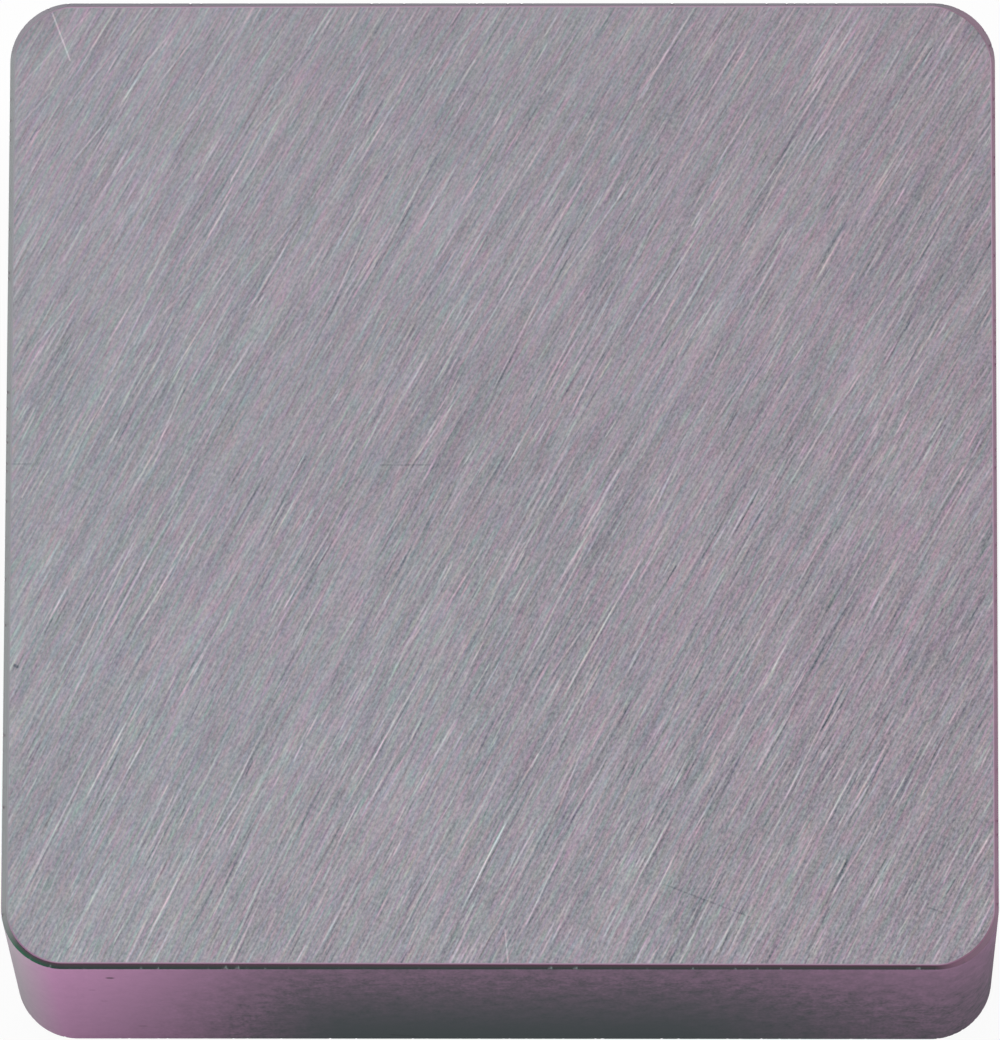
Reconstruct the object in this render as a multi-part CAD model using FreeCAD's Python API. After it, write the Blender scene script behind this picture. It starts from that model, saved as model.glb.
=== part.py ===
"""Square ceramic turning insert, solid, without a hole, usable on both faces.

One pressed, sintered and ground piece. The square block has four upright flanks and four
rounded noses. Along the rim of both faces runs a narrow land, a shallow chamfer ground at a
flat angle to the face, which keeps the brittle cutting edge from crumbling.

Frame: millimetres, +Z up. The origin is the centre of the seat face, which the insert
rests on. X and Y run square to the flanks, and -Y is the flank at the front.
"""

import FreeCAD, Part
import math
import os

# Driving dimensions, in millimetres and degrees
INSCRIBED_CIRCLE = 12.70  # circle that touches all four flanks, so the width across the flats
THICKNESS = 4.76          # seat face to rake face
NOSE_RADIUS = 0.80        # rounding of the four upright corners
LAND_WIDTH = 0.065        # breadth of the land, measured in the plane of the face
LAND_ANGLE = 20.0         # slope of the land against the face

# How far the land falls from the face to the cutting edge
LAND_DROP = LAND_WIDTH * math.tan(math.radians(LAND_ANGLE))


def square_outline(width, nose_radius, height):
    """Closed level wire of a square centred on the Z axis, with four round noses."""
    half = width / 2.0
    centre_reach = half - nose_radius
    edges = []
    for quarter in range(4):
        turn = math.radians(90.0 * quarter)

        def place(x, y):
            return FreeCAD.Vector(
                x * math.cos(turn) - y * math.sin(turn),
                x * math.sin(turn) + y * math.cos(turn),
                height,
            )

        # The flank on +X, then the nose that leads into the next flank
        flank_start = place(half, -centre_reach)
        flank_end = place(half, centre_reach)
        diagonal = centre_reach + nose_radius * math.sqrt(0.5)
        nose_middle = place(diagonal, diagonal)
        nose_end = place(centre_reach, half)
        edges.append(Part.LineSegment(flank_start, flank_end).toShape())
        edges.append(Part.Arc(flank_end, nose_middle, nose_end).toShape())
    return Part.Wire(edges)


def face_outline(height):
    """Rim of a lapped face, where the land begins."""
    return square_outline(INSCRIBED_CIRCLE - 2.0 * LAND_WIDTH, NOSE_RADIUS - LAND_WIDTH, height)


def edge_outline(height):
    """Cutting edge, where the land meets the flanks."""
    return square_outline(INSCRIBED_CIRCLE, NOSE_RADIUS, height)


def make_insert():
    """The whole insert: seat land, flanks and rake land ruled between four level outlines."""
    outlines = [
        face_outline(0.0),
        edge_outline(LAND_DROP),
        edge_outline(THICKNESS - LAND_DROP),
        face_outline(THICKNESS),
    ]
    return Part.makeLoft(outlines, True, True)


os.makedirs("parts", exist_ok=True)
make_insert().exportStep("parts/insert.step")
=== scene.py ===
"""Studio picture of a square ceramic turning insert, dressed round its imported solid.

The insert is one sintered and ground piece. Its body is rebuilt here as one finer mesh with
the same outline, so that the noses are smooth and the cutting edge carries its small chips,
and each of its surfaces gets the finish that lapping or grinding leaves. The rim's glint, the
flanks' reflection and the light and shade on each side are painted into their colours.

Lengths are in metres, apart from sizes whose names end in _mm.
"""

import logging
import math
from dataclasses import dataclass
from enum import Enum
from typing import Any

import bpy
from mathutils import Euler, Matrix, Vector

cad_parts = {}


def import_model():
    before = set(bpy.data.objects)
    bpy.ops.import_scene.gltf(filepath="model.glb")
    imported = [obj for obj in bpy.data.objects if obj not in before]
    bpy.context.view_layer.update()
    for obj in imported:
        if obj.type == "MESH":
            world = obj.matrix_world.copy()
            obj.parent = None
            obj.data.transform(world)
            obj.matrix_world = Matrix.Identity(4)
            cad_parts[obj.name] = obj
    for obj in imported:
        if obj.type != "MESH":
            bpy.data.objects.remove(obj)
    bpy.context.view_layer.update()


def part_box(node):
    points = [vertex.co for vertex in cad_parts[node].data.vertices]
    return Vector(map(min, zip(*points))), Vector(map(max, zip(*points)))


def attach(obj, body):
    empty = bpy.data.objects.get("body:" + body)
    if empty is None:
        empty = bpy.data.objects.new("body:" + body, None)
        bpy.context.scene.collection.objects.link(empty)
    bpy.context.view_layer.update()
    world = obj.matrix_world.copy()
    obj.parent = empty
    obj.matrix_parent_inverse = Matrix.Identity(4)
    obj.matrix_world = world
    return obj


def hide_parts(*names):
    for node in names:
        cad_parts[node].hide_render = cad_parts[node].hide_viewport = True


LOG = logging.getLogger("insert")
MM = 0.001  # one millimetre in metres
BODY = "root"
WHITE = "FFFFFF"
FRACTURE = "585259"  # ceramic where it has broken, not been ground
FULL_CHIP_MM = 0.010  # depth at which a chip shows the fracture's colour in full
CERAMIC_IOR = 1.76  # alumina's
GROOVE_DEPTH = 1.0e-6  # of the grooves that lapping and grinding leave

Pair = tuple[float, float]
Triple = tuple[float, float, float]
Tree = bpy.types.NodeTree
Node = bpy.types.Node
Socket = bpy.types.NodeSocket
Feed = Node | Socket  # what an input is linked to: a node stands for its first output

MATH = "ShaderNodeMath"
VECTOR = "ShaderNodeVectorMath"
RANGE = "ShaderNodeMapRange"  # takes a value, the two ends it comes from and the two it goes to
SPLIT = "ShaderNodeSeparateXYZ"
JOIN = "ShaderNodeCombineXYZ"


class Zone(Enum):
    """The surfaces of the insert, each with its own finish."""

    FACE = 0
    RIM = 1
    LAND = 2
    FLANK = 3


class Way(Enum):
    """The ways that sides and noses look."""

    LEFT = (-1.0, 0.0, 0.0)
    RIGHT = (1.0, 0.0, 0.0)
    BACK = (0.0, 1.0, 0.0)
    FRONT_LEFT = (-0.7071, -0.7071, 0.0)
    FRONT_RIGHT = (0.7071, -0.7071, 0.0)
    BACK_LEFT = (-0.7071, 0.7071, 0.0)
    BACK_RIGHT = (0.7071, 0.7071, 0.0)


class Slot(Enum):
    """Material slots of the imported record."""

    CERAMIC = "ground_ceramic"


def linear(colour: str) -> tuple[float, float, float, float]:
    """Turns an sRGB hex colour to linear light.

    Args:
        colour: Six hex digits.

    Returns:
        Red, green, blue and an alpha of one.
    """
    values = [int(colour[i : i + 2], 16) / 255.0 for i in (0, 2, 4)]
    bent = [v / 12.92 if v <= 0.04045 else ((v + 0.055) / 1.055) ** 2.4 for v in values]
    return (bent[0], bent[1], bent[2], 1.0)


def add(tree: Tree, kind: str, feeds: dict | tuple = (), operation: str = "", **settings: Any) -> Node:
    """Adds one node with its settings and what feeds it.

    Args:
        tree: The tree the node goes into.
        kind: The node's type.
        feeds: What the first inputs take, or the names or numbers of inputs with what they take:
            a value, a socket, or a node that stands for its first output.
        operation: What a node for sums, vectors or comparisons does.
        settings: The node's other properties.

    Returns:
        The new node.
    """
    made = tree.nodes.new(kind)
    if operation:
        settings["operation"] = operation
    for name, value in settings.items():
        setattr(made, name, value)
    for key, value in feeds.items() if isinstance(feeds, dict) else enumerate(feeds):
        if isinstance(value, Node):
            value = value.outputs[0]
        if isinstance(value, Socket):
            tree.links.new(value, made.inputs[key])
        else:
            made.inputs[key].default_value = value
    return made


def stand(name: str, data: bpy.types.ID) -> bpy.types.Object:
    """Makes an object and stands it in the scene.

    Args:
        name: The object's name.
        data: The mesh, lamp or camera that it holds.

    Returns:
        The object.
    """
    made = bpy.data.objects.new(name, data)
    bpy.context.scene.collection.objects.link(made)
    return made


@dataclass(frozen=True)
class InsertSizes:
    """Sizes of the insert in millimetres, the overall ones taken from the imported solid."""

    width_mm: float
    height_mm: float
    nose_radius_mm: float = 0.80
    land_width_mm: float = 0.065
    land_angle_deg: float = 20.0
    land_share: float = 0.88  # share of the land's width that is ground at the insert's middle planes
    land_tilt: Pair = (-0.025, -0.026)  # its rise for each millimetre to the right and back
    land_least: float = 0.74  # and the least share along the flanks
    land_nose_gain: float = 0.46  # how much more the least share is at the noses
    rim_width_mm: float = 0.018  # strip along the land's border, where a glint is painted

    @classmethod
    def from_frame(cls, node: str) -> "InsertSizes":
        """Reads the overall sizes from a node of the frame, given by its name."""
        low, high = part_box(node)
        return cls(width_mm=(high[0] - low[0]) / MM, height_mm=(high[2] - low[2]) / MM)

    @property
    def land_slope(self) -> float:
        """Fall of the land for each millimetre of its breadth."""
        return math.tan(math.radians(self.land_angle_deg))

    @property
    def half_mm(self) -> float:
        """Distance of the flanks from the middle."""
        return self.width_mm / 2

    @property
    def reach_mm(self) -> float:
        """How far the centres of the noses lie from the insert's middle planes."""
        return self.half_mm - self.nose_radius_mm


@dataclass(frozen=True)
class Lay:
    """Direction of the lapping scratches: arcs about a far centre, as a lap's turning leaves them."""

    angle_deg: float
    arc_radius_mm: float

    def coordinates(self, tree: Tree, place: Feed) -> Feed:
        """Adds nodes that turn a place to distances across and along the scratches.

        Args:
            tree: The material's tree.
            place: The place in millimetres.

        Returns:
            Vector of the distance across, the distance along, and zero.
        """
        side = math.radians(self.angle_deg - 90.0)
        centre = (self.arc_radius_mm * math.cos(side), self.arc_radius_mm * math.sin(side), 0.0)
        flat = add(tree, VECTOR, (place, (1.0, 1.0, 0.0)), "MULTIPLY")
        arm = add(tree, VECTOR, (centre, flat), "SUBTRACT")
        reach = add(tree, VECTOR, (arm,), "LENGTH").outputs["Value"]
        across = add(tree, MATH, (reach, self.arc_radius_mm), "SUBTRACT")
        parts = add(tree, SPLIT, (arm,)).outputs
        turn = add(tree, MATH, (parts[1], parts[0]), "ARCTAN2")
        along = add(tree, MATH, (turn, self.arc_radius_mm), "MULTIPLY")
        return add(tree, JOIN, (across, along))


@dataclass(frozen=True)
class Streaks:
    """One family of streaks: long grains of noise, with their size across and along the lay."""

    width_mm: float
    length_mm: float
    strength: float
    detail: float = 1.0
    roughness: float = 0.6
    seed: float = 0.0
    tint: float = 0.0  # strength of the tint, which varies from red through green to blue

    def noise(self, tree: Tree, lay: Feed, flat: bool = True) -> Node:
        """Adds the noise of the family.

        Args:
            tree: The material's tree.
            lay: Distances across and along the lay.
            flat: Whether the noise varies in the plane of the lay only.

        Returns:
            The noise node.
        """
        cells = (1.0 / self.width_mm, 1.0 / self.length_mm, 1.0 / self.length_mm)
        offset = (self.seed, 3.0 * self.seed, 7.0 * self.seed)
        cell = add(tree, VECTOR, (lay, cells, offset), "MULTIPLY_ADD")
        grain = {"Vector": cell, "Scale": 1.0, "Detail": self.detail, "Roughness": self.roughness}
        return add(tree, "ShaderNodeTexNoise", grain, noise_dimensions="2D" if flat else "3D")

    def value(self, tree: Tree, lay: Feed, flat: bool = True) -> Feed:
        """Adds the nodes of the streaks, which give a value about zero, as strong as the family."""
        return spread(tree, self.noise(tree, lay, flat).outputs["Fac"], self.strength)


@dataclass(frozen=True)
class Scratches:
    """One family of single straight scratches: one in each cell of a stretched pattern of cells."""

    spacing_mm: float  # size of a cell across the lay
    length_mm: float  # size of a cell along it, which the longest scratches reach
    width_mm: float
    strength: float
    turn_deg: float = 2.0  # most that a scratch turns from the lay
    rarity: float = 3.0  # odd power that the strength is raised to: the higher, the rarer a strong scratch
    dark: float = 0.62  # how strong the darkest scratch is beside the brightest one
    shade: float = 0.38  # how strong the shaded side of a scratch is beside its lit middle
    half_lengths: Pair = (0.2, 0.5)  # of the shortest and the longest, in cells
    seed: float = 0.0

    def value(self, tree: Tree, lay: Feed) -> Feed:
        """Adds the nodes of the scratches.

        Args:
            tree: The material's tree.
            lay: Distances across and along the lay.

        Returns:
            Positive on bright scratches, negative on dark ones, and zero between.
        """
        cells = (1.0 / self.spacing_mm, 1.0 / self.length_mm, 0.0)
        offset = (self.seed, 3.0 * self.seed, 0.0)
        cell = add(tree, VECTOR, (lay, cells, offset), "MULTIPLY_ADD")
        spots = add(tree, "ShaderNodeTexVoronoi", {"Vector": cell, "Scale": 1.0}, voronoi_dimensions="2D")
        chance = add(tree, SPLIT, (spots.outputs["Color"],)).outputs
        arm = add(tree, VECTOR, (cell, spots.outputs["Position"]), "SUBTRACT")
        off = add(tree, SPLIT, (arm,)).outputs
        turn = math.tan(math.radians(self.turn_deg)) * self.length_mm / self.spacing_mm
        lean = spread(tree, chance[0], turn)
        side = add(tree, MATH, (off[1], lean, off[0]), "MULTIPLY_ADD")
        half = self.width_mm / 2 / self.spacing_mm
        lines = []  # the lit middle, the shaded side, and half that shade on the other side
        for middle, share in ((0.0, 1.0), (-2.0 * half, -self.shade), (2.0 * half, -self.shade / 2)):
            away = add(tree, MATH, (side, middle), "SUBTRACT")
            away = add(tree, MATH, (away,), "ABSOLUTE")
            lines.append(add(tree, RANGE, (away, 0.0, half, share, 0.0)))
        end = add(tree, MATH, (off[1],), "ABSOLUTE")
        reach = add(tree, RANGE, (chance[1], 0.0, 1.0, *self.half_lengths))
        near = add(tree, MATH, (reach, 0.5), "MULTIPLY")
        fade = add(tree, RANGE, (end, near, reach, 1.0, 0.0))
        tone = add(tree, RANGE, (chance[2], 0.0, 1.0, -self.dark, 1.0))
        tone = add(tree, MATH, (tone, self.rarity), "POWER")
        tone = add(tree, MATH, (tone, self.strength), "MULTIPLY")
        shape = add(tree, MATH, (total(tree, lines), fade), "MULTIPLY")
        return add(tree, MATH, (tone, shape), "MULTIPLY")


@dataclass(frozen=True)
class Mark:
    """One scratch or nick that stands out, by the places of its ends in millimetres."""

    start: Triple
    end: Triple
    width_mm: float
    tone: float  # share of the brightness that it adds
    core: float = 0.3  # share of the width that has the full tone

    def value(self, tree: Tree, place: Feed) -> Feed:
        """Adds nodes that fade from the mark's line to nothing at its border.

        Args:
            tree: The material's tree.
            place: The place in millimetres.

        Returns:
            The tone on the mark, and zero away from it.
        """
        start, line = Vector(self.start), Vector(self.end) - Vector(self.start)
        arm = add(tree, VECTOR, (place, start), "SUBTRACT")
        reach = add(tree, VECTOR, (arm, line / line.length_squared), "DOT_PRODUCT").outputs["Value"]
        share = add(tree, "ShaderNodeClamp", {"Value": reach})
        foot = add(tree, VECTOR, {0: line, "Scale": share}, "SCALE")
        off = add(tree, VECTOR, (arm, foot), "DISTANCE").outputs["Value"]
        half = self.width_mm / 2
        return add(tree, RANGE, (off, self.core * half, half, self.tone, 0.0))


def spread(tree: Tree, value: Feed, strength: float) -> Feed:
    """Adds a node that turns a share from 0 to 1 to a value about zero, of the given strength."""
    return add(tree, RANGE, (value, 0.0, 1.0, -strength, strength), clamp=False)


def total(tree: Tree, values: list) -> Feed:
    """Adds nodes that sum several values.

    Args:
        tree: The material's tree.
        values: Sockets or numbers.

    Returns:
        Their sum.
    """
    result = values[0]
    for value in values[1:]:
        result = add(tree, MATH, (result, value), "ADD")
    return result


def chipped(tree: Tree, colour: Feed) -> Feed:
    """Adds nodes that show the fresh fracture in the cutting edge's chips, paler than the rest.

    Args:
        tree: The material's tree.
        colour: Colour of the surface round the chips.

    Returns:
        The colour with the chips.
    """
    depth = add(tree, "ShaderNodeAttribute", attribute_name="chip")
    share = add(tree, RANGE, (depth.outputs["Fac"], 0.0, FULL_CHIP_MM))
    ends = {0: share, 6: colour, 7: linear(FRACTURE)}
    return add(tree, "ShaderNodeMix", ends, data_type="RGBA").outputs[2]


@dataclass(frozen=True)
class PaintedSideLight:
    """Painted light or shade: a colour that a surface takes where it looks one way, as the lamps fall on that
    side.
    """

    way: Way
    colour: str
    start: float  # how far the surface looks that way where the colour begins to show
    full: float  # and where it has taken over

    def over(self, tree: Tree, colour: Any) -> Feed:
        """Adds nodes that lay the colour over another one.

        Args:
            tree: The material's tree.
            colour: The other colour.

        Returns:
            The colour that results.
        """
        outward = add(tree, "ShaderNodeAttribute", attribute_name="outward")
        side = add(tree, VECTOR, (outward.outputs["Vector"], self.way.value), "DOT_PRODUCT")
        share = add(tree, RANGE, (side.outputs["Value"], self.start, self.full))
        ends = {0: share, 6: colour, 7: linear(self.colour)}
        return add(tree, "ShaderNodeMix", ends, data_type="RGBA").outputs[2]


@dataclass(frozen=True)
class Finish:
    """A finish of one zone of the ceramic, which gives a material."""

    sizes: InsertSizes
    name: str

    def material(self) -> bpy.types.Material:
        """Makes the material with its output, and lets the finish add the rest.

        Returns:
            The material.
        """
        made = bpy.data.materials.new(self.name)
        made.use_nodes = True
        tree = made.node_tree
        tree.nodes.clear()
        where = add(tree, "ShaderNodeTexCoord").outputs["Object"]
        place = add(tree, VECTOR, {0: where, "Scale": 1.0 / MM}, "SCALE")
        add(tree, "ShaderNodeOutputMaterial", {"Surface": self.surface(tree, place)})
        return made

    def surface(self, tree: Tree, place: Feed) -> Node:
        """Adds the surface's nodes and gives the shader's."""
        raise NotImplementedError

    def graded(self, tree: Tree, place: Feed, fall: float, ends: tuple, tones: tuple) -> Feed:
        """Adds nodes that grade a colour from the nearer face inwards, under the painted light and shade of
        the sides.

        Args:
            tree: The material's tree.
            place: The place in millimetres.
            fall: How far below the face the second colour takes over, in millimetres.
            ends: The two colours.
            tones: The painted light and shade of the sides.

        Returns:
            The colour.
        """
        middle = self.sizes.height_mm / 2
        off = add(tree, MATH, (add(tree, SPLIT, (place,)).outputs[2], middle), "SUBTRACT")
        off = add(tree, MATH, (off,), "ABSOLUTE")
        share = add(tree, RANGE, (add(tree, MATH, (middle, off), "SUBTRACT"), 0.0, fall))
        colour = add(tree, "ShaderNodeMix", {0: share, 6: ends[0], 7: ends[1]}, data_type="RGBA").outputs[2]
        for tone in tones:
            colour = tone.over(tree, colour)
        return colour


@dataclass(frozen=True)
class LappedFace(Finish):
    """Mixed alumina ceramic, lapped flat: dull mid grey, dense with fine diagonal scratches."""

    name: str = "lapped_mixed_alumina"
    colour: str = "87828C"
    rise_right: Triple = (-0.0016, -0.0036, -0.0034)  # its change in linear light for each mm to the right
    rise_back: Triple = (-0.0013, -0.0018, -0.0017)  # and for each mm towards the back
    roughness: float = 0.45
    lay: Lay = Lay(angle_deg=61.5, arc_radius_mm=170.0)
    cross_lay: Lay = Lay(angle_deg=49.0, arc_radius_mm=400.0)
    streaks: tuple[Streaks, ...] = (
        Streaks(0.034, 0.052, 0.46, roughness=0.7, seed=3.0),
        Streaks(0.030, 0.28, 0.27, seed=1.0, tint=0.22),
        Streaks(0.240, 2.4, 0.32, detail=2.0, seed=9.0, tint=0.02),
        Streaks(0.055, 0.80, 0.0, roughness=0.7, seed=21.0, tint=0.20),
        Streaks(2.500, 4.5, 0.10, seed=27.0, tint=0.035),
    )
    contrast_balance: Triple = (1.10, 1.00, 0.90)  # contrast of red, green and blue beside the mean
    green_axis: Triple = (-0.87, 0.73, 0.13)  # the tint that varies most
    blue_axis: Triple = (-0.06, -0.34, 0.40)  # and the one across it
    corner_shade: float = 0.15  # how much darker the face is near each nose
    corner_rise: Triple = (0.001, 0.0118, 0.0)  # how much darker still for each mm to the right and back
    corner_start_mm: float = 0.35  # how far from the centre of the nose's arc the darkening begins
    # real lapping scratches are a few micrometres wide, too fine to show, so these are coarser
    scratches: tuple[Scratches, ...] = (
        Scratches(0.050, 0.60, 0.030, 0.54, turn_deg=2.5, rarity=1.0, seed=14.0),
        Scratches(0.100, 1.6, 0.042, 0.54, turn_deg=2.5, dark=0.66, rarity=1.0, seed=23.0),
        Scratches(0.150, 2.6, 0.030, 0.78, turn_deg=3.0, seed=17.0),
        Scratches(0.260, 2.0, 0.027, 0.72, turn_deg=7.0, seed=41.0),
    )
    gathered_by: int = 2  # the family of streaks whose bands also gather the scratches
    gathering: Pair = (0.45, 1.5)  # strength of the scratches between and in their bands
    gathering_noise: Pair = (0.35, 0.65)  # noise where the bands begin and are full
    cross_scratches: Scratches = Scratches(0.180, 1.6, 0.028, 1.30, turn_deg=4.0, seed=31.0)
    cross_corner_mm: Triple = (-6.35, 6.35, 4.76)
    cross_reach_mm: float = 8.0
    contrast_rise: Triple = (0.028, -0.018, 0.0)  # change of the contrast for each mm to the right and back
    marks: tuple[Mark, ...] = (
        Mark((-5.819, 6.232, 4.76), (-5.580, 5.592, 4.76), 0.032, 0.75),
        Mark((0.068, -5.845, 4.76), (0.108, -6.259, 4.76), 0.030, 0.60),
        Mark((-6.324, 5.125, 4.76), (-5.328, 6.232, 4.76), 0.03, 0.30),
        Mark((-6.210, -2.400, 4.76), (-6.175, -2.420, 4.76), 0.06, -0.7),
        Mark((-6.350, 0.240, 4.76), (-6.040, 0.240, 4.76), 0.025, -0.3),
        Mark((-1.552, 0.227, 4.76), (-0.912, 0.228, 4.76), 0.025, -0.3),
        Mark((2.116, -5.260, 4.76), (3.184, -5.674, 4.76), 0.03, -0.3),
        Mark((5.474, -5.556, 4.76), (5.652, -5.621, 4.76), 0.03, -0.3),
    )

    def surface(self, tree: Tree, place: Feed) -> Node:
        """Adds the lapped surface's nodes.

        Args:
            tree: The material's tree.
            place: The place in millimetres.

        Returns:
            The shader node.
        """
        lay = self.lay.coordinates(tree, place)
        noises = [family.noise(tree, lay) for family in self.streaks]
        values = [
            spread(tree, noise.outputs["Fac"], family.strength)
            for noise, family in zip(noises, self.streaks)
            if family.strength
        ]
        values.append(self.along_lay(tree, lay, noises[self.gathered_by].outputs["Color"]))
        values.append(self.across_lay(tree, place))
        rise = add(tree, VECTOR, (place, self.contrast_rise), "DOT_PRODUCT")
        contrast = add(tree, MATH, (rise.outputs["Value"], 1.0), "ADD")
        gain = add(tree, MATH, (total(tree, values), contrast, self.corners(tree, place)), "MULTIPLY_ADD")
        gain = total(tree, [gain] + [mark.value(tree, place) for mark in self.marks])
        gain = add(tree, VECTOR, (gain, self.contrast_balance, (1.0, 1.0, 1.0)), "MULTIPLY_ADD")
        tone = linear(self.colour)[:3]
        for distance, change in zip(add(tree, SPLIT, (place,)).outputs, (self.rise_right, self.rise_back)):
            tone = add(tree, VECTOR, (distance, change, tone), "MULTIPLY_ADD")
        for noise, family in zip(noises, self.streaks):
            if family.tint:
                tint = self.tinted(tree, noise.outputs["Color"], family.tint)
                tone = add(tree, VECTOR, (tone, tint), "MULTIPLY")
        tone = add(tree, VECTOR, (tone, gain), "MULTIPLY")
        bump = add(tree, "ShaderNodeBump", {"Height": values[1], "Distance": GROOVE_DEPTH})
        look = {"Base Color": tone, "Roughness": self.roughness, "IOR": CERAMIC_IOR, "Normal": bump}
        return add(tree, "ShaderNodeBsdfPrincipled", look)

    def along_lay(self, tree: Tree, lay: Feed, chance: Feed) -> Feed:
        """Adds nodes for the scratches along the lay, gathered in bands.

        Args:
            tree: The material's tree.
            lay: Distances across and along the lay.
            chance: Colour of the noise that has the bands.

        Returns:
            What the scratches add to the brightness.
        """
        chance = add(tree, SPLIT, (chance,)).outputs[1]
        share = add(tree, RANGE, (chance, *self.gathering_noise, *self.gathering))
        scratches = total(tree, [family.value(tree, lay) for family in self.scratches])
        return add(tree, MATH, (scratches, share), "MULTIPLY")

    def across_lay(self, tree: Tree, place: Feed) -> Feed:
        """Adds nodes for the scratches that cross the lay near one nose.

        Args:
            tree: The material's tree.
            place: The place in millimetres.

        Returns:
            What the scratches add to the brightness.
        """
        cross = self.cross_scratches.value(tree, self.cross_lay.coordinates(tree, place))
        off = add(tree, VECTOR, (place, self.cross_corner_mm), "DISTANCE")
        near = add(tree, RANGE, (off.outputs["Value"], 0.0, self.cross_reach_mm, 1.0, 0.0))
        return add(tree, MATH, (cross, near), "MULTIPLY")

    def tinted(self, tree: Tree, chance: Feed, strength: float) -> Feed:
        """Adds nodes that turn two channels of a noise to a tint about white.

        Args:
            tree: The material's tree.
            chance: Colour of the noise.
            strength: How strong the tint is where a channel is at its end.

        Returns:
            The tint, to multiply a colour by.
        """
        channels = add(tree, SPLIT, (chance,)).outputs
        green, blue = Vector(self.green_axis) * strength, Vector(self.blue_axis) * strength
        tint = (channels[1], 2.0 * green, Vector((1.0, 1.0, 1.0)) - green - blue)
        tint = add(tree, VECTOR, tint, "MULTIPLY_ADD")
        return add(tree, VECTOR, (channels[2], 2.0 * blue, tint), "MULTIPLY_ADD")

    def corners(self, tree: Tree, place: Feed) -> Feed:
        """Adds nodes that darken the face at the four noses.

        Args:
            tree: The material's tree.
            place: The place in millimetres.

        Returns:
            What the darkening adds to the brightness, at most zero.
        """
        reach = self.sizes.reach_mm
        off = add(tree, VECTOR, (place,), "ABSOLUTE")
        off = add(tree, VECTOR, (off, (reach, reach, 0.0)), "SUBTRACT")
        off = add(tree, VECTOR, (off,), "MAXIMUM")
        parts = add(tree, SPLIT, (off,)).outputs
        inside = add(tree, MATH, (parts[0], parts[1]), "MULTIPLY")
        start, full = self.corner_start_mm**2 / 2, self.sizes.nose_radius_mm**2 / 2
        fade = add(tree, RANGE, (inside, start, full, 0.0, -1.0))
        rise = add(tree, VECTOR, (place, self.corner_rise), "DOT_PRODUCT").outputs["Value"]
        shade = add(tree, MATH, (rise, self.corner_shade), "ADD")
        return add(tree, MATH, (fade, shade), "MULTIPLY")


@dataclass(frozen=True)
class PaintedGlintRim(Finish):
    """The border of the lapped face, with a painted glint: a thin line, pink towards the land."""

    name: str = "painted_glint_mixed_alumina"
    # painted glint: pale pink at the face, grading to dark mauve at the land
    glint_colour: str = "AC8FA8"
    land_colour: str = "7A4668"
    roughness: float = 0.45
    # painted light and shade: each side and nose lighter or darker as the lamps fall on it
    painted_side_lights: tuple[PaintedSideLight, ...] = (
        PaintedSideLight(Way.LEFT, "7E7C84", 0.75, 1.0),
        PaintedSideLight(Way.FRONT_LEFT, "8A5A80", 0.84, 1.0),
        PaintedSideLight(Way.FRONT_RIGHT, "7A4A68", 0.75, 0.95),
        PaintedSideLight(Way.BACK_RIGHT, "6C4860", 0.75, 0.95),
        PaintedSideLight(Way.BACK_LEFT, "7E6A7C", 0.75, 0.95),
    )

    def surface(self, tree: Tree, place: Feed) -> Node:
        """Adds the rim's nodes.

        Args:
            tree: The material's tree.
            place: The place in millimetres.

        Returns:
            The shader node.
        """
        fall = self.sizes.rim_width_mm / 2 * self.sizes.land_slope
        ends = (linear(self.glint_colour), linear(self.land_colour))
        colour = self.graded(tree, place, fall, ends, self.painted_side_lights)
        look = {"Base Color": colour, "Roughness": self.roughness, "IOR": CERAMIC_IOR}
        return add(tree, "ShaderNodeBsdfPrincipled", look)


@dataclass(frozen=True)
class GroundLand(Finish):
    """The land, ground with a fine wheel: almost black, and glossy enough to mirror the lamps, with more
    reflection painted on the sides and noses that face them.
    """

    name: str = "fine_ground_mixed_alumina"
    inner_colour: str = "501E3C"
    edge_colour: str = "0C2A24"
    # painted light and shade at the front left nose, for the inner part and the edge
    nose_inner: PaintedSideLight = PaintedSideLight(Way.FRONT_LEFT, "4A0738", 0.80, 1.0)
    nose_edge: PaintedSideLight = PaintedSideLight(Way.FRONT_LEFT, "004E32", 0.78, 0.98)
    gloss_tint: str = "DEFFF6"
    roughness: float = 0.25
    ior: float = 1.9  # above alumina's own, because fine grinding leaves the land glossier
    # painted reflection of the lamps: the sides and noses that face them are lighter
    painted_side_lights: tuple[PaintedSideLight, ...] = (
        PaintedSideLight(Way.RIGHT, "73305A", 0.0, 0.5),
        PaintedSideLight(Way.LEFT, "625259", 0.75, 1.0),
        PaintedSideLight(Way.BACK, "5C4458", 0.0, 0.6),
        PaintedSideLight(Way.BACK_RIGHT, "70355A", 0.8, 1.0),
        PaintedSideLight(Way.FRONT_RIGHT, "7C5C70", 0.7, 1.0),
        PaintedSideLight(Way.BACK_LEFT, "786574", 0.6, 1.0),
    )

    def surface(self, tree: Tree, place: Feed) -> Node:
        """Adds the land's nodes.

        Args:
            tree: The material's tree.
            place: The place in millimetres.

        Returns:
            The shader node.
        """
        fall = self.sizes.land_width_mm * self.sizes.land_slope
        inner = self.nose_inner.over(tree, linear(self.inner_colour))
        edge = self.nose_edge.over(tree, linear(self.edge_colour))
        colour = self.graded(tree, place, fall, (inner, edge), self.painted_side_lights)
        look = {"Base Color": chipped(tree, colour), "Roughness": self.roughness, "IOR": self.ior}
        look["Specular Tint"] = linear(self.gloss_tint)
        return add(tree, "ShaderNodeBsdfPrincipled", look)


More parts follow.
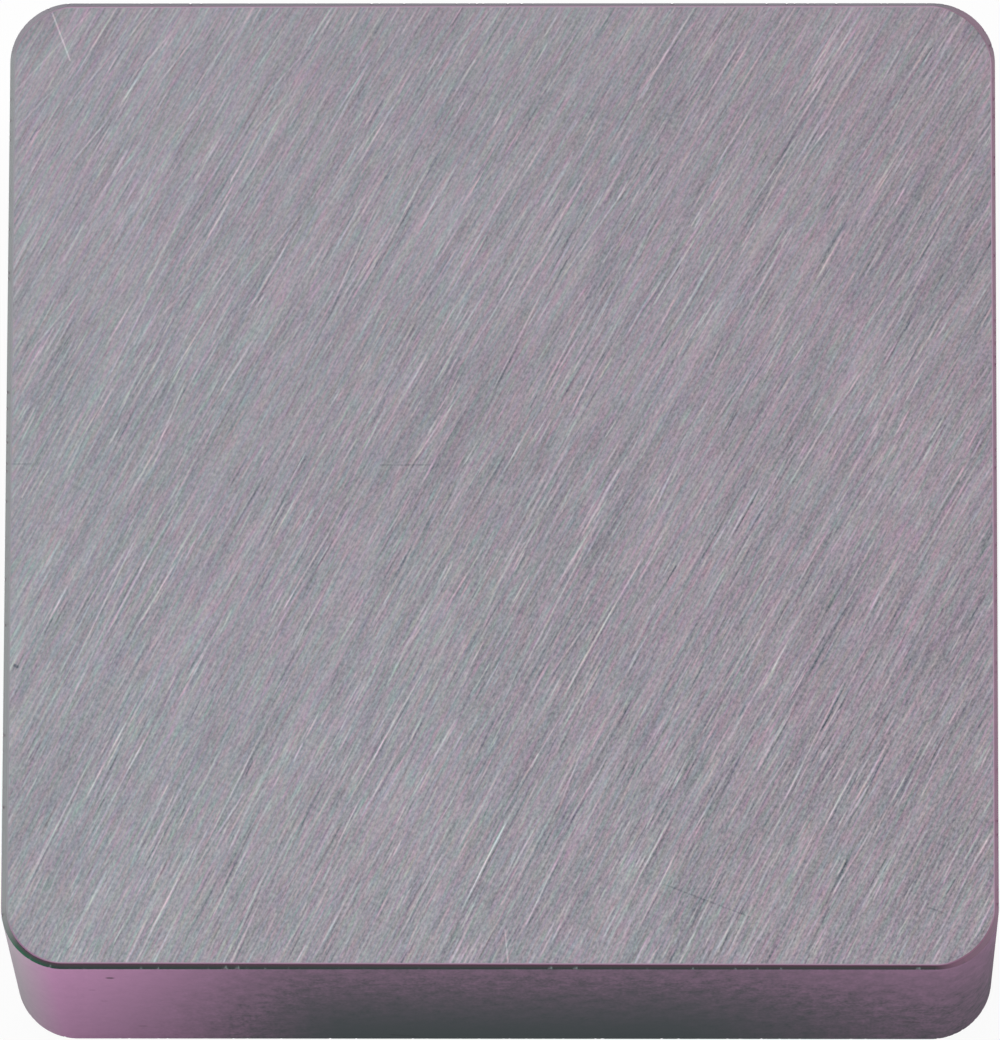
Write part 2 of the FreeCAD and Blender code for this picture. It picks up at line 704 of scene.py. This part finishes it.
@dataclass(frozen=True)
class GroundFlank(Finish):
    """The flanks, ground along their length: dark, with a painted mauve reflection below the edge and at the
    noses.
    """

    name: str = "ground_mixed_alumina"
    dark_colour: str = "2E383B"
    painted_reflection_colour: str = "FFAFE9"
    # painted light: the reflection is paler towards the left, where the left lamp falls
    painted_left_light: PaintedSideLight = PaintedSideLight(Way.LEFT, "E6D2DE", 0.2, 0.85)
    roughness: float = 0.75
    specular: float = 0.08
    # painted reflection below the edge, where the flank would mirror the lit floor
    top_painted_reflection: float = 0.13
    top_fall: float = 1.76  # how fast the painted reflection below the edge fades downwards
    # painted reflection and light at each nose: its side to the right, its side to the back, and strength
    nose_painted_reflections: tuple[Triple, ...] = (
        (-1.0, -1.0, 0.345),
        (1.0, -1.0, 0.080),
        (1.0, 1.0, 0.15),
        (-1.0, 1.0, 0.25),
    )
    painted_reflection_reach_mm: float = 4.4
    marks: tuple[Mark, ...] = (
        Mark((-4.990, -6.35, 4.148), (-4.965, -6.35, 4.144), 0.120, -0.90),
        Mark((-5.255, -6.35, 3.345), (-5.225, -6.35, 3.340), 0.090, -0.25),
        Mark((-5.130, -6.35, 2.601), (-5.100, -6.35, 2.601), 0.090, -0.20),
        Mark((-4.700, -6.35, 0.893), (-4.650, -6.35, 0.893), 0.100, -0.30),
        Mark((5.190, -6.35, 1.215), (5.375, -6.35, 1.193), 0.090, -0.45),
        Mark((-1.450, -6.35, 0.300), (-1.150, -6.35, 0.180), 0.100, -0.35),
    )
    blotch_limit: float = 0.09  # painted reflection past which the blotches grow no stronger
    calm: Pair = (0.10, 0.26)  # painted reflection where they start to fade and end doing so
    calm_left: float = 0.30  # and what is left of them
    blotches: Streaks = Streaks(0.28, 0.20, 1.3, detail=3.0, roughness=0.65, seed=2.0)
    speckle: Streaks = Streaks(0.11, 0.05, 0.7, seed=8.0)
    lines: Streaks = Streaks(0.022, 0.22, 0.25, seed=6.0)  # coarser than real ones, which wouldn't show

    def surface(self, tree: Tree, place: Feed) -> Node:
        """Adds the flank's nodes.

        Args:
            tree: The material's tree.
            place: The place in millimetres.

        Returns:
            The shader node.
        """
        across, side, height = add(tree, SPLIT, (place,)).outputs
        lay = add(tree, JOIN, (height, across, side))
        families = (self.blotches, self.speckle, self.lines)
        patches = [family.value(tree, lay, flat=False) for family in families]
        # painted reflection, lighter below the edge and at the noses, fading downwards
        painted_reflection = self.painted_reflection(tree, place, height)
        weak = add(tree, MATH, (painted_reflection, self.blotch_limit), "MINIMUM")
        calm = add(tree, RANGE, (painted_reflection, *self.calm, 1.0, self.calm_left))
        weak = add(tree, MATH, (weak, calm), "MULTIPLY")
        patchy = add(tree, MATH, (weak, total(tree, patches)), "MULTIPLY")
        painted_reflection = total(tree, [painted_reflection, patchy])
        painted_reflection = add(tree, MATH, (painted_reflection, 0.0), "MAXIMUM")
        gloss = self.painted_left_light.over(tree, linear(self.painted_reflection_colour))
        gloss = add(tree, VECTOR, {0: gloss, "Scale": painted_reflection}, "SCALE")
        colour = add(tree, VECTOR, (linear(self.dark_colour)[:3], gloss), "ADD")
        gain = total(tree, [1.0] + [mark.value(tree, place) for mark in self.marks])
        colour = add(tree, VECTOR, {0: colour, "Scale": gain}, "SCALE")
        look = {"Base Color": chipped(tree, colour), "Roughness": self.roughness, "IOR": CERAMIC_IOR}
        look["Specular IOR Level"] = self.specular
        look["Normal"] = add(tree, "ShaderNodeBump", {"Height": patches[-1], "Distance": GROOVE_DEPTH})
        return add(tree, "ShaderNodeBsdfPrincipled", look)

    def painted_reflection(self, tree: Tree, place: Feed, height: Feed) -> Feed:
        """Adds nodes for the painted reflection at the noses and below the upper edge.

        Args:
            tree: The material's tree.
            place: The place in millimetres.
            height: Its height.

        Returns:
            The painted reflection's strength.
        """
        flat = add(tree, VECTOR, (place, (1.0, 1.0, 0.0)), "MULTIPLY")
        painted_reflections = []
        for side_x, side_y, strength in self.nose_painted_reflections:
            corner = (side_x * self.sizes.half_mm, side_y * self.sizes.half_mm, 0.0)
            off = add(tree, VECTOR, (flat, corner), "DISTANCE").outputs["Value"]
            near = (off, 0.0, self.painted_reflection_reach_mm, strength, 0.0)
            painted_reflections.append(add(tree, RANGE, near, interpolation_type="SMOOTHSTEP"))
        rise = add(tree, RANGE, (height, 0.0, self.sizes.height_mm))
        rise = add(tree, MATH, (rise, self.top_fall), "POWER")
        painted_reflections.append(add(tree, MATH, (rise, self.top_painted_reflection), "MULTIPLY"))
        return total(tree, painted_reflections)


@dataclass(frozen=True)
class Rail:
    """The insert's outline as a curve, with what its points hand on to the swept surfaces."""

    curve: Feed
    place: Feed
    outward: Feed
    share: Feed  # the land's width there, as a share of its nominal width


@dataclass(frozen=True)
class Chips:
    """Small chips along a cutting edge: some at chosen places of its front, the rest by chance."""

    front_mm: tuple[float, ...] = ()
    radius_mm: float = 0.035
    depth_mm: float = 0.014
    nick_size_mm: float = 0.045
    nick_depth_mm: float = 0.012
    nick_noise: Pair = (0.60, 0.80)  # noise where a nick begins and has its full depth
    seed: float = 0.0


@dataclass
class InsertBody:
    """The insert itself: its section swept round its outline, closed by the two faces."""

    sizes: InsertSizes
    rake_chips: Chips = Chips(front_mm=(-3.490, -3.338, 0.642, 0.960, 5.318), seed=4.0)
    seat_chips: Chips = Chips(seed=11.0)
    name: str = "insert_body"
    node: str = "insert"
    step_mm: float = 0.02  # spacing of the mesh along the outline
    margin_mm: float = 0.05  # finely divided part of the flank below the cutting edge
    core_shrink: float = 0.95  # how far the face is ruled towards the axis, before one polygon closes it
    weld_mm: float = 0.0002
    nose_steps: int = 48  # points round each nose, before the outline is divided evenly
    bite_fall: float = 2.0  # how fast a chip grows shallower away from the edge
    crease_deg: float = 5.0  # bend past which an edge is shaded sharp

    def inputs(self) -> dict[str, float]:
        """Names the tree's sizes and gives their values in millimetres."""
        return {
            "Width": self.sizes.width_mm,
            "Height": self.sizes.height_mm,
            "Nose Radius": self.sizes.nose_radius_mm,
            "Land Width": self.sizes.land_width_mm,
            "Land Slope": self.sizes.land_slope,
            "Land Share": self.sizes.land_share,
            "Land Least": self.sizes.land_least,
            "Land Nose Gain": self.sizes.land_nose_gain,
            "Land Rise Right": self.sizes.land_tilt[0],
            "Land Rise Back": self.sizes.land_tilt[1],
            "Rim Width": self.sizes.rim_width_mm,
            "Step": self.step_mm,
            "Margin": self.margin_mm,
        }

    def rail(self, tree: Tree, size: dict) -> Rail:
        """Adds nodes that draw the outline and keep what the swept surfaces need of it.

        Args:
            tree: The geometry tree.
            size: Named inputs of the tree.

        Returns:
            The outline.
        """
        wide = {"Width": size["Width"], "Height": size["Width"]}
        square = add(tree, "GeometryNodeCurvePrimitiveQuadrilateral", wide)
        corner = {"Curve": square, "Radius": size["Nose Radius"], "Count": self.nose_steps}
        rounded = add(tree, "GeometryNodeFilletCurve", corner, mode="POLY")
        spacing = {"Curve": rounded, "Length": size["Step"]}
        even = add(tree, "GeometryNodeResampleCurve", spacing, mode="LENGTH")
        level = add(tree, "GeometryNodeSetCurveNormal", {"Curve": even}, mode="Z_UP")
        kept = add(tree, "GeometryNodeCaptureAttribute", {"Geometry": level})
        for label, source in (("Place", "GeometryNodeInputPosition"), ("Outward", "GeometryNodeInputNormal")):
            kept.capture_items.new("VECTOR", label)
            tree.links.new(add(tree, source).outputs[0], kept.inputs[label])
        place, outward = kept.outputs["Place"], kept.outputs["Outward"]
        rise = add(tree, JOIN, (size["Land Rise Right"], size["Land Rise Back"]))
        rise = add(tree, VECTOR, (place, rise), "DOT_PRODUCT").outputs["Value"]
        share = add(tree, MATH, (rise, size["Land Share"]), "ADD")
        ways = add(tree, SPLIT, (outward,)).outputs
        turned = add(tree, MATH, (ways[0], ways[1]), "MULTIPLY")
        turned = add(tree, MATH, (turned,), "ABSOLUTE")
        turned = add(tree, MATH, (turned, 2.0), "MULTIPLY")  # 1 at the middle of a nose, 0 on a flank
        least = add(tree, MATH, (turned, size["Land Nose Gain"], size["Land Least"]), "MULTIPLY_ADD")
        share = add(tree, MATH, (share, least), "MAXIMUM")
        return Rail(kept.outputs["Geometry"], place, outward, share)

    def section(self, tree: Tree, rail: Rail, size: dict) -> dict[str, Feed]:
        """Adds nodes for the corner points of half the section.

        Args:
            tree: The geometry tree.
            rail: The outline.
            size: Named inputs of the tree.

        Returns:
            For each named point its distance inwards of the outline, its depth below the face, and how
            far it is drawn in towards the insert's axis.
        """
        land = add(tree, MATH, (size["Land Width"], rail.share), "MULTIPLY")
        half_rim = add(tree, MATH, (size["Rim Width"], 0.5), "MULTIPLY")
        rim_inner = add(tree, MATH, (land, half_rim), "ADD")
        rim_outer = add(tree, MATH, (land, half_rim), "SUBTRACT")
        rim_depth = add(tree, MATH, (half_rim, size["Land Slope"]), "MULTIPLY")
        edge_depth = add(tree, MATH, (land, size["Land Slope"]), "MULTIPLY")
        margin_depth = add(tree, MATH, (edge_depth, size["Margin"]), "ADD")
        middle_depth = add(tree, MATH, (size["Height"], 0.5), "MULTIPLY")
        points = {
            "core": (rim_inner, 0.0, self.core_shrink),
            "rim_inner": (rim_inner, 0.0),
            "rim_outer": (rim_outer, rim_depth),
            "edge": (0.0, edge_depth),
            "margin": (0.0, margin_depth),
            "middle": (0.0, middle_depth),
        }
        return {label: add(tree, JOIN, parts) for label, parts in points.items()}

    def chipping(self, tree: Tree, rail: Rail, chips: Chips) -> Feed:
        """Adds nodes that say how deep the cutting edge is chipped at each place of the outline.

        Args:
            tree: The geometry tree.
            rail: The outline.
            chips: Sizes and places of the chips.

        Returns:
            The depth in millimetres.
        """
        cell = (rail.place, (1.0 / chips.nick_size_mm,) * 3, (0.0, 0.0, chips.seed))
        cell = add(tree, VECTOR, cell, "MULTIPLY_ADD")
        noise = add(tree, "ShaderNodeTexNoise", {"Vector": cell, "Scale": 1.0, "Detail": 1.0})
        depth = add(tree, RANGE, (noise.outputs["Fac"], *chips.nick_noise, 0.0, chips.nick_depth_mm))
        for front in chips.front_mm:
            middle = (front, -self.sizes.half_mm, 0.0)
            off = add(tree, VECTOR, (rail.place, middle), "DISTANCE")
            bowl = (off.outputs["Value"], 0.0, chips.radius_mm, chips.depth_mm, 0.0)
            bowl = add(tree, RANGE, bowl, interpolation_type="SMOOTHSTEP")
            depth = add(tree, MATH, (depth, bowl), "MAXIMUM")
        return depth

    def placed(self, tree: Tree, geometry: Feed, rail: Rail, point: Feed, height: Feed | None) -> Feed:
        """Adds nodes that move each point of the outline to a point of the section.

        Args:
            tree: The geometry tree.
            geometry: The curve or mesh to move.
            rail: The outline.
            point: Distance inwards, depth below the face, and share drawn in towards the axis.
            height: Height of the rake face, or nothing for the seat face.

        Returns:
            The moved geometry.
        """
        inset, level, drawn = add(tree, SPLIT, (point,)).outputs
        inset = add(tree, VECTOR, {0: rail.outward, "Scale": inset}, "SCALE")
        spot = add(tree, VECTOR, (rail.place, inset), "SUBTRACT")
        kept = add(tree, MATH, (1.0, drawn), "SUBTRACT")
        spot = add(tree, VECTOR, {0: spot, "Scale": kept}, "SCALE")
        if height is not None:
            level = add(tree, MATH, (height, level), "SUBTRACT")
        rise = add(tree, JOIN, {2: level})
        spot = add(tree, VECTOR, (spot, rise), "ADD")
        return add(tree, "GeometryNodeSetPosition", {"Geometry": geometry, "Position": spot})

    def tagged(self, tree: Tree, mesh: Feed, label: str, value: Any, **settings: Any) -> Feed:
        """Adds a node that writes a named attribute on a mesh, by default a number on each point."""
        feeds = {"Geometry": mesh, "Name": label, "Value": value}
        return add(tree, "GeometryNodeStoreNamedAttribute", feeds, **settings)

    def half(self, tree: Tree, rail: Rail, size: dict, chips: Chips, height: Feed | None) -> list[Node]:
        """Adds the surfaces from one face to the middle of the flanks.

        Args:
            tree: The geometry tree.
            rail: The outline.
            size: Named inputs of the tree.
            chips: Chips of this half's cutting edge.
            height: Height of the rake face, or nothing for the seat face.

        Returns:
            One mesh for each surface.
        """
        points = self.section(tree, rail, size)
        bite = self.chipping(tree, rail, chips)
        surfaces = []
        # each strip's zone, the points that it spans, and its rows of faces
        for zone, upper, lower, rows in (
            (Zone.FACE, "core", "rim_inner", 6),
            (Zone.RIM, "rim_inner", "rim_outer", 1),
            (Zone.LAND, "rim_outer", "edge", 4),
            (Zone.FLANK, "edge", "margin", 4),
            (Zone.FLANK, "margin", "middle", 1),
        ):
            line = add(tree, "GeometryNodeCurvePrimitiveLine", {"End": (1.0, 0.0, 0.0)})
            cut = add(tree, "GeometryNodeResampleCurve", {"Curve": line, "Count": rows + 1})
            kept = add(tree, "GeometryNodeCaptureAttribute", {"Geometry": cut})
            kept.capture_items.new("FLOAT", "Share")
            tree.links.new(add(tree, "GeometryNodeSplineParameter").outputs["Factor"], kept.inputs["Share"])
            share = kept.outputs["Share"]
            sweep = {"Curve": rail.curve, "Profile Curve": kept.outputs["Geometry"]}
            swept = add(tree, "GeometryNodeCurveToMesh", sweep)
            shares = add(tree, JOIN, (share, share, share))
            ends = {6: shares, 9: points[upper], 10: points[lower]}
            point = add(tree, RANGE, ends, data_type="FLOAT_VECTOR").outputs["Vector"]
            dent = 0.0
            if upper == "edge":
                share = add(tree, MATH, (1.0, share), "SUBTRACT")
            if "edge" in (upper, lower):
                near = add(tree, MATH, (share, self.bite_fall), "POWER")
                dent = add(tree, MATH, (bite, near), "MULTIPLY")
                shift = add(tree, JOIN, (dent, dent))
                point = add(tree, VECTOR, (point, shift), "ADD")
            mesh = self.placed(tree, swept, rail, point, height)
            mesh = self.tagged(tree, mesh, "chip", dent)
            mesh = self.tagged(tree, mesh, "outward", rail.outward, data_type="FLOAT_VECTOR")
            surfaces.append(self.tagged(tree, mesh, "zone", zone.value, data_type="INT", domain="FACE"))
        border = self.placed(tree, rail.curve, rail, points["core"], None)
        cap = add(tree, "GeometryNodeFillCurve", {"Curve": border}, mode="NGONS")
        if height is not None:
            lift = add(tree, JOIN, {2: height})
            cap = add(tree, "GeometryNodeTransform", {"Geometry": cap, "Translation": lift})
        surfaces.append(self.tagged(tree, cap, "zone", Zone.FACE.value, data_type="INT", domain="FACE"))
        return surfaces

    def tree(self, materials: dict[Zone, bpy.types.Material]) -> Tree:
        """Builds the geometry tree that makes the insert.

        Args:
            materials: The material of each zone.

        Returns:
            The tree, with its sizes as named inputs in millimetres.
        """
        tree = bpy.data.node_groups.new("insert_form", "GeometryNodeTree")
        for label, value in self.inputs().items():
            socket = tree.interface.new_socket(label, in_out="INPUT", socket_type="NodeSocketFloat")
            socket.default_value = value
        tree.interface.new_socket("Geometry", in_out="OUTPUT", socket_type="NodeSocketGeometry")
        size = {socket.name: socket for socket in add(tree, "NodeGroupInput").outputs}
        rail = self.rail(tree, size)
        halves = add(tree, "GeometryNodeJoinGeometry")
        for chips, height in ((self.rake_chips, size["Height"]), (self.seat_chips, None)):
            half = add(tree, "GeometryNodeJoinGeometry")
            for surface in self.half(tree, rail, size, chips, height):
                tree.links.new(surface.outputs[0], half.inputs[0])
            if height is None:
                half = add(tree, "GeometryNodeFlipFaces", {"Mesh": half})
            tree.links.new(half.outputs[0], halves.inputs[0])
        welded = add(tree, "GeometryNodeMergeByDistance", {"Geometry": halves, "Distance": self.weld_mm})
        metres = add(tree, "GeometryNodeTransform", {"Geometry": welded, "Scale": (MM, MM, MM)})
        current = self.shaded(tree, metres)
        current = add(tree, "GeometryNodeRealizeInstances", {"Geometry": current})
        for zone in Zone:
            tag = add(tree, "GeometryNodeInputNamedAttribute", {"Name": "zone"}, data_type="INT")
            mine = add(tree, "FunctionNodeCompare", {2: tag, 3: zone.value}, "EQUAL", data_type="INT")
            dress = {"Geometry": current, "Selection": mine, "Material": materials[zone]}
            current = add(tree, "GeometryNodeSetMaterial", dress)
        add(tree, "NodeGroupOutput", (current,))
        return tree

    def shaded(self, tree: Tree, mesh: Feed) -> Feed:
        """Adds nodes that shade the mesh smooth apart from its real edges.

        Args:
            tree: The geometry tree.
            mesh: The mesh.

        Returns:
            The shaded mesh.
        """
        angle = add(tree, "GeometryNodeInputMeshEdgeAngle").outputs["Unsigned Angle"]
        bend = (angle, math.radians(self.crease_deg))
        sharp = add(tree, "FunctionNodeCompare", bend, "GREATER_THAN")
        smooth = add(tree, "GeometryNodeSetShadeSmooth", {"Geometry": mesh})
        crisp = {"Geometry": smooth, "Selection": sharp, "Shade Smooth": False}
        return add(tree, "GeometryNodeSetShadeSmooth", crisp, domain="EDGE")

    def build(self) -> bpy.types.Object:
        """Makes the insert's mesh, dresses it and puts it in the frame.

        Returns:
            The piece.
        """
        materials = {
            Zone.FACE: LappedFace(self.sizes).material(),
            Zone.RIM: PaintedGlintRim(self.sizes).material(),
            Zone.LAND: GroundLand(self.sizes).material(),
            Zone.FLANK: GroundFlank(self.sizes).material(),
        }
        carrier = stand("form", bpy.data.meshes.new("form"))
        modifier = carrier.modifiers.new("form", "NODES")
        modifier.node_group = self.tree(materials)
        depsgraph = bpy.context.evaluated_depsgraph_get()
        mesh = bpy.data.meshes.new_from_object(carrier.evaluated_get(depsgraph))
        bpy.data.objects.remove(carrier)
        mesh.materials.pop(index=0)  # the empty slot that the modifier leaves
        mesh.name = self.name
        piece = stand(self.name, mesh)
        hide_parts(self.node)
        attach(piece, BODY)
        return piece


@dataclass(frozen=True)
class Softbox:
    """One soft studio lamp, aimed at the insert."""

    name: str
    place: Triple
    size: Pair
    radiance: float

    def build(self) -> None:
        """Hangs the lamp, at the power that gives its panel the stated radiance."""
        data = bpy.data.lights.new(self.name, "AREA")
        data.shape = "RECTANGLE"
        data.size, data.size_y = self.size
        data.energy = self.radiance * math.pi * self.size[0] * self.size[1]
        lamp = stand(self.name, data)
        lamp.location = self.place
        lamp.rotation_euler = (-Vector(self.place)).to_track_quat("-Z", "Y").to_euler()


@dataclass(frozen=True)
class ViewPoint:
    """The camera, as the photograph was taken: nearly from above, through a long lens."""

    aim_mm: Triple = (-0.012, -0.490, 4.736)
    distance_mm: float = 183.9
    tilt_deg: float = 12.858
    lean_deg: float = 0.738
    roll_deg: float = 0.18
    lens_mm: float = 497.2
    sensor_mm: float = 36.0

    def build(self) -> None:
        """Makes the camera and gives it to the scene."""
        data = bpy.data.cameras.new("camera")
        data.lens = self.lens_mm
        data.sensor_width = self.sensor_mm
        data.clip_start, data.clip_end = 0.01, 100.0
        camera = stand("camera", data)
        turn = Euler([math.radians(a) for a in (self.tilt_deg, self.lean_deg, self.roll_deg)], "XYZ")
        camera.rotation_euler = turn
        back = turn.to_matrix() @ Vector((0.0, 0.0, 1.0))
        camera.location = Vector(self.aim_mm) * MM + back * self.distance_mm * MM
        bpy.context.scene.camera = camera


@dataclass(frozen=True)
class Studio:
    """Floor, background and lamps round the insert."""

    floor_size: float = 4.0
    floor_drop: float = 0.00001
    floor_colour: str = "F0F0F0"
    overhead: float = 0.3  # strength of the world above
    horizon: float = 1.0  # and low down, where it is the background
    horizon_rise: Pair = (0.10, 0.45)  # upward part of the way where one turns to the other
    shown_white: float = 0.92
    lamps: tuple[Softbox, ...] = (
        Softbox("softbox_behind", (0.0, 0.30, 0.46), (1.00, 0.62), 1.35),
        Softbox("softbox_left", (-0.42, 0.08, 0.44), (0.34, 0.40), 1.45),
        Softbox("softbox_right", (0.42, 0.08, 0.44), (0.34, 0.40), 0.60),
        Softbox("softbox_front", (-0.30, -0.36, 0.24), (0.35, 0.35), 1.5),
    )

    def floor_material(self) -> bpy.types.Material:
        """Makes the floor's material: pale card, which is shown nearly white and keeps shadows.

        Returns:
            The material.
        """
        made = bpy.data.materials.new("pale_card")
        made.cycles.emission_sampling = "NONE"
        made.use_nodes = True
        tree = made.node_tree
        tree.nodes.clear()
        card = add(tree, "ShaderNodeBsdfDiffuse", {"Color": linear(self.floor_colour)})
        white = add(tree, "ShaderNodeEmission", {"Color": linear(WHITE)})
        path = add(tree, "ShaderNodeLightPath")
        seen = path.outputs["Is Camera Ray"]
        for kind in ("Is Glossy Ray", "Is Transmission Ray"):
            seen = add(tree, MATH, (seen, path.outputs[kind]), "MAXIMUM")
        share = add(tree, MATH, (seen, self.shown_white), "MULTIPLY")
        mixed = add(tree, "ShaderNodeMixShader", (share, card, white))
        add(tree, "ShaderNodeOutputMaterial", {"Surface": mixed})
        return made

    def build(self) -> None:
        """Lays the floor, sets the background and hangs the lamps."""
        half = self.floor_size / 2
        mesh = bpy.data.meshes.new("floor")
        corners = [(x * half, y * half, -self.floor_drop) for x, y in ((-1, -1), (1, -1), (1, 1), (-1, 1))]
        mesh.from_pydata(corners, [], [(0, 1, 2, 3)])
        floor = stand("floor", mesh)
        mesh.materials.append(self.floor_material())

        world = bpy.data.worlds.new("studio")
        bpy.context.scene.world = world
        world.use_nodes = True
        tree = world.node_tree
        tree.nodes.clear()
        way = add(tree, "ShaderNodeTexCoord").outputs["Generated"]
        rise = add(tree, SPLIT, (way,)).outputs[2]
        fade = (rise, *self.horizon_rise, self.horizon, self.overhead)
        level = add(tree, RANGE, fade, interpolation_type="SMOOTHSTEP")
        back = add(tree, "ShaderNodeBackground", {"Color": linear(WHITE), "Strength": level})
        add(tree, "ShaderNodeOutputWorld", {"Surface": back})
        for lamp in self.lamps:
            lamp.build()


def main() -> None:
    """Builds the insert round the frame, then the studio, and reports each piece."""
    logging.basicConfig(level=logging.INFO, format="%(message)s")
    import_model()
    bpy.context.scene.view_settings.view_transform = "Standard"
    body = InsertBody(InsertSizes.from_frame("insert"))
    piece = body.build()
    LOG.info("%s: %d faces", piece.name, len(piece.data.polygons))
    Studio().build()
    ViewPoint().build()


if __name__ == "__main__":
    main()
